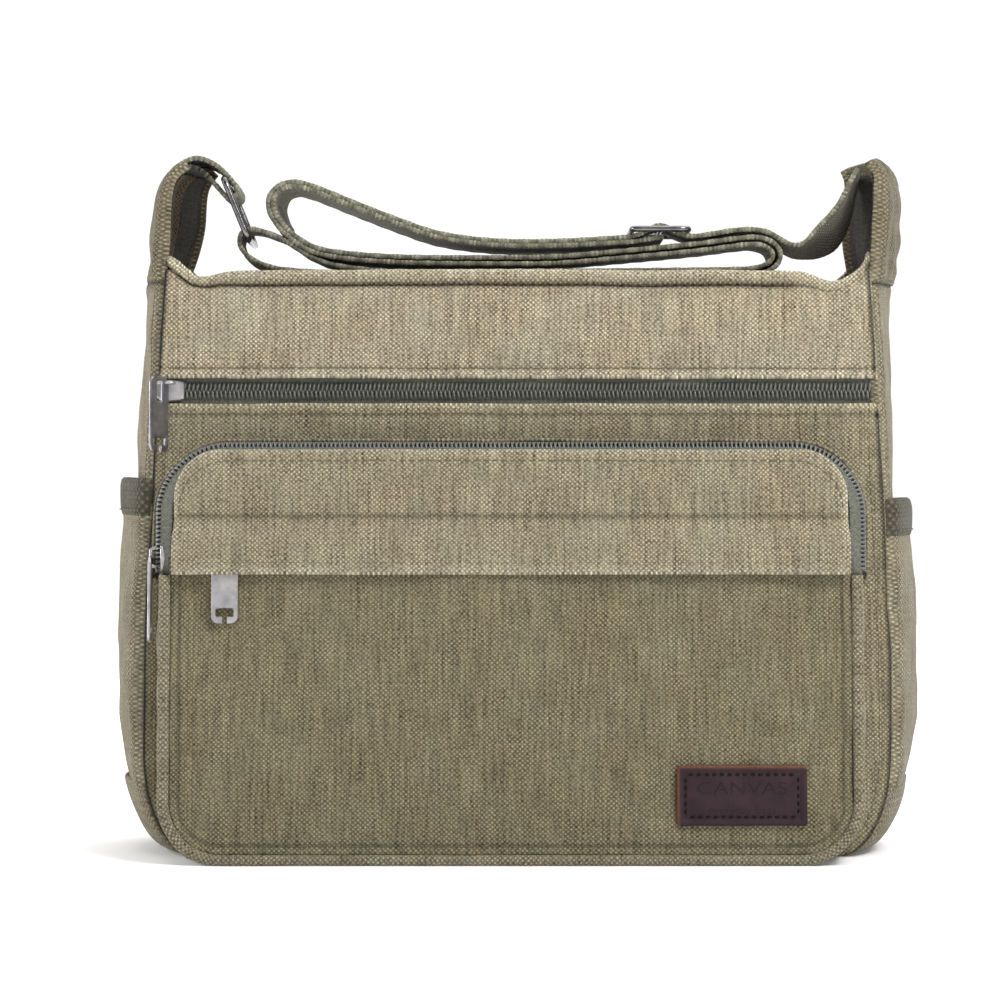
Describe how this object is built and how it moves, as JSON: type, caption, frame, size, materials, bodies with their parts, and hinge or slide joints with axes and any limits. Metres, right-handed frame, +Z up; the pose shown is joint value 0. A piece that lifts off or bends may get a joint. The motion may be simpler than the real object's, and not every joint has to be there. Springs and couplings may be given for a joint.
{
  "type": "messenger bag",
  "caption": "Canvas shoulder bag with a zipped top, zipped front and front pocket, side slip pockets and a folded webbing strap.",
  "frame": {"origin": "centre of the base, on the surface that the bag stands on", "axes": "+X across the bag to its right as seen from the front, +Y from front to back, +Z up"},
  "size_m": [0.3614, 0.1365, 0.3115],
  "materials": {
    "canvas": "washed khaki canvas, plain weave, matt",
    "canvas_side": "the same washed canvas, a little darker on the sides",
    "webbing": "ribbed cotton webbing, matt",
    "zip_tape": "woven zip tape with a dark coil",
    "lining": "plain woven lining, matt",
    "gunmetal": "dark plated metal, satin",
    "silver_metal": "antique silver plating, satin",
    "label_leather": "smooth brown leather with raw edges"
  },
  "bodies": {
    "bag": {"front_panel_upper": "canvas", "front_panel_lower": "canvas", "back_panel_upper": "canvas", "back_panel_lower": "canvas", "gusset_left": "canvas_side", "gusset_right": "canvas_side", "base_panel": "canvas_side", "ear_left": "canvas_side", "ear_right": "canvas_side", "ear_facing_left": "lining", "ear_facing_right": "lining", "top_strip_front": "canvas_side", "top_strip_back": "canvas_side", "top_zip_stringer_front": "zip_tape", "top_zip_stringer_back": "zip_tape", "lining": "lining", "inner_pocket": "lining", "front_zip_stringer_upper": "zip_tape", "front_zip_stringer_lower": "zip_tape", "pocket_yoke": "canvas", "placket_flap": "canvas", "pocket_face": "canvas", "pocket_side_canvas": "canvas_side", "pocket_top_canvas": "canvas_side", "pocket_piping": "canvas", "pocket_zip_stringer_front": "zip_tape", "pocket_zip_stringer_back": "zip_tape", "placket_zip_stringer_upper": "zip_tape", "placket_zip_stringer_lower": "zip_tape", "leather_label": "label_leather", "side_pocket_left": "canvas_side", "side_pocket_right": "canvas_side", "side_binding_left": "webbing", "side_binding_right": "webbing", "back_zip_stringer_upper": "zip_tape", "back_zip_stringer_lower": "zip_tape", "strap_webbing": "webbing", "strap_loop": "webbing", "slide_buckle": "gunmetal"},
    "front_zip_slider": {"front_zip_slider": "gunmetal"},
    "front_zip_puller": {"front_zip_puller": "gunmetal"},
    "top_zip_slider": {"top_zip_slider": "gunmetal"},
    "top_zip_puller": {"top_zip_puller": "gunmetal"},
    "pocket_zip_slider": {"pocket_zip_slider": "gunmetal"},
    "pocket_zip_puller": {"pocket_zip_puller": "gunmetal"},
    "placket_zip_slider": {"placket_zip_slider": "silver_metal"},
    "placket_zip_puller": {"placket_zip_puller": "silver_metal"},
    "back_zip_slider": {"back_zip_slider": "gunmetal"},
    "back_zip_puller": {"back_zip_puller": "gunmetal"},
    "rectangle_ring": {"rectangle_ring": "gunmetal"}
  },
  "joints": [
    {"name": "front_zip_slide", "type": "slide", "parent": "bag", "child": "front_zip_slider", "axis": [1, 0, 0], "range_m": [0, 0.299]},
    {"name": "front_zip_puller_swing", "type": "hinge", "parent": "front_zip_slider", "child": "front_zip_puller", "pos_m": [-0.1517, -0.03782, 0.20822], "axis": [-1, 0, 0], "range_deg": [0, 150]},
    {"name": "top_zip_slide", "type": "slide", "parent": "bag", "child": "top_zip_slider", "axis": [1, 0, 0], "range_m": [0, 0.27]},
    {"name": "top_zip_puller_swing", "type": "hinge", "parent": "top_zip_slider", "child": "top_zip_puller", "pos_m": [-0.131, 0, 0.2512], "axis": [0, 1, 0], "range_deg": [0, 5]},
    {"name": "pocket_zip_slide", "type": "slide", "parent": "bag", "child": "pocket_zip_slider", "axis": [0, 0.094, 0.9956], "range_m": [0, 0.0165]},
    {"name": "pocket_zip_puller_swing", "type": "hinge", "parent": "pocket_zip_slider", "child": "pocket_zip_puller", "pos_m": [-0.155, -0.06259, 0.13097], "axis": [0, 0.9956, -0.094], "range_deg": [0, 150]},
    {"name": "placket_zip_slide", "type": "slide", "parent": "bag", "child": "placket_zip_slider", "axis": [1, 0, 0], "range_m": [-0.011, 0.257]},
    {"name": "placket_zip_puller_swing", "type": "hinge", "parent": "placket_zip_slider", "child": "placket_zip_puller", "pos_m": [-0.123, -0.0753, 0.13669], "axis": [-1, 0, 0], "range_deg": [0, 7]},
    {"name": "back_zip_slide", "type": "slide", "parent": "bag", "child": "back_zip_slider", "axis": [-1, 0, 0], "range_m": [0, 0.224]},
    {"name": "back_zip_puller_swing", "type": "hinge", "parent": "back_zip_slider", "child": "back_zip_puller", "pos_m": [0.112, 0.03914, 0.19024], "axis": [1, 0, 0], "range_deg": [0, 150]},
    {"name": "ring_swing", "type": "hinge", "parent": "bag", "child": "rectangle_ring", "pos_m": [-0.1305, 0, 0.299], "axis": [0, 1, 0], "range_deg": [-3.5, 3.5]}
  ]
}
